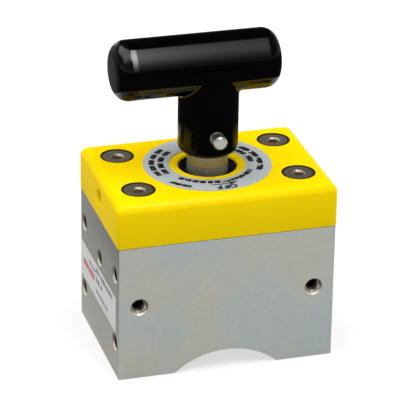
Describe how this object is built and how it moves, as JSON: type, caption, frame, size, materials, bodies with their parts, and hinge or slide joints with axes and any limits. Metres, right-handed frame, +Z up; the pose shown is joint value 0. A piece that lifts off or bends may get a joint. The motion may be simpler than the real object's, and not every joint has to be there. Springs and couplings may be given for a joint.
{
  "type": "magnetic stop block",
  "caption": "Switchable magnetic work-holding block: steel pole block with a pipe trough, coated cap and a T-handle that turns the inner magnet on and off.",
  "frame": {"origin": "bottom centre of the block, in the plane of its two pole feet", "axes": "+Z up along the shaft, +X to the right along the block, -Y towards the front face with the two tapped holes"},
  "size_m": [0.0896, 0.0618, 0.1319],
  "materials": {
    "machined_steel": "ground, satin, faintly mottled",
    "magnet": "plated, satin",
    "hard_steel": "ground",
    "shaft_steel": "turned and polished",
    "bright_steel": "bright",
    "black_steel": "black oxide, satin",
    "brass": "turned",
    "black_rubber": "matt",
    "yellow_coat": "glossy powder coat",
    "dial_plate": "satin, printed in black",
    "label_film": "silver-grey film, printed",
    "black_grip": "high gloss"
  },
  "bodies": {
    "block": {"pole_block": "machined_steel", "lower_magnet": "magnet", "magnet_dowels": "hard_steel", "separator_disc": "brass", "thrust_washer": "brass", "shaft_bush": "brass", "shaft_seal": "black_rubber", "cap": "yellow_coat", "cap_gasket": "black_rubber", "cap_screws": "black_steel", "stop_screw": "black_steel", "dial_label": "dial_plate", "side_label": "label_film"},
    "rotor": {"upper_magnet": "magnet", "drive_hub": "hard_steel", "drive_pins": "hard_steel", "return_spring": "hard_steel"},
    "handle": {"drive_shaft": "shaft_steel", "shaft_circlip": "black_steel", "handle_grip": "black_grip", "pointer_pin": "bright_steel"}
  },
  "joints": [
    {"name": "handle_turn", "type": "hinge", "parent": "block", "child": "rotor", "pos_m": [0, 0, 0.05], "axis": [0, 0, 1], "range_deg": [-180, 0]},
    {"name": "handle_push", "type": "slide", "parent": "rotor", "child": "handle", "axis": [0, 0, 1], "range_m": [-0.003, 0], "stiffness_N_per_m": 2000, "springref_m": 0.005, "deforming": ["return_spring"]}
  ]
}
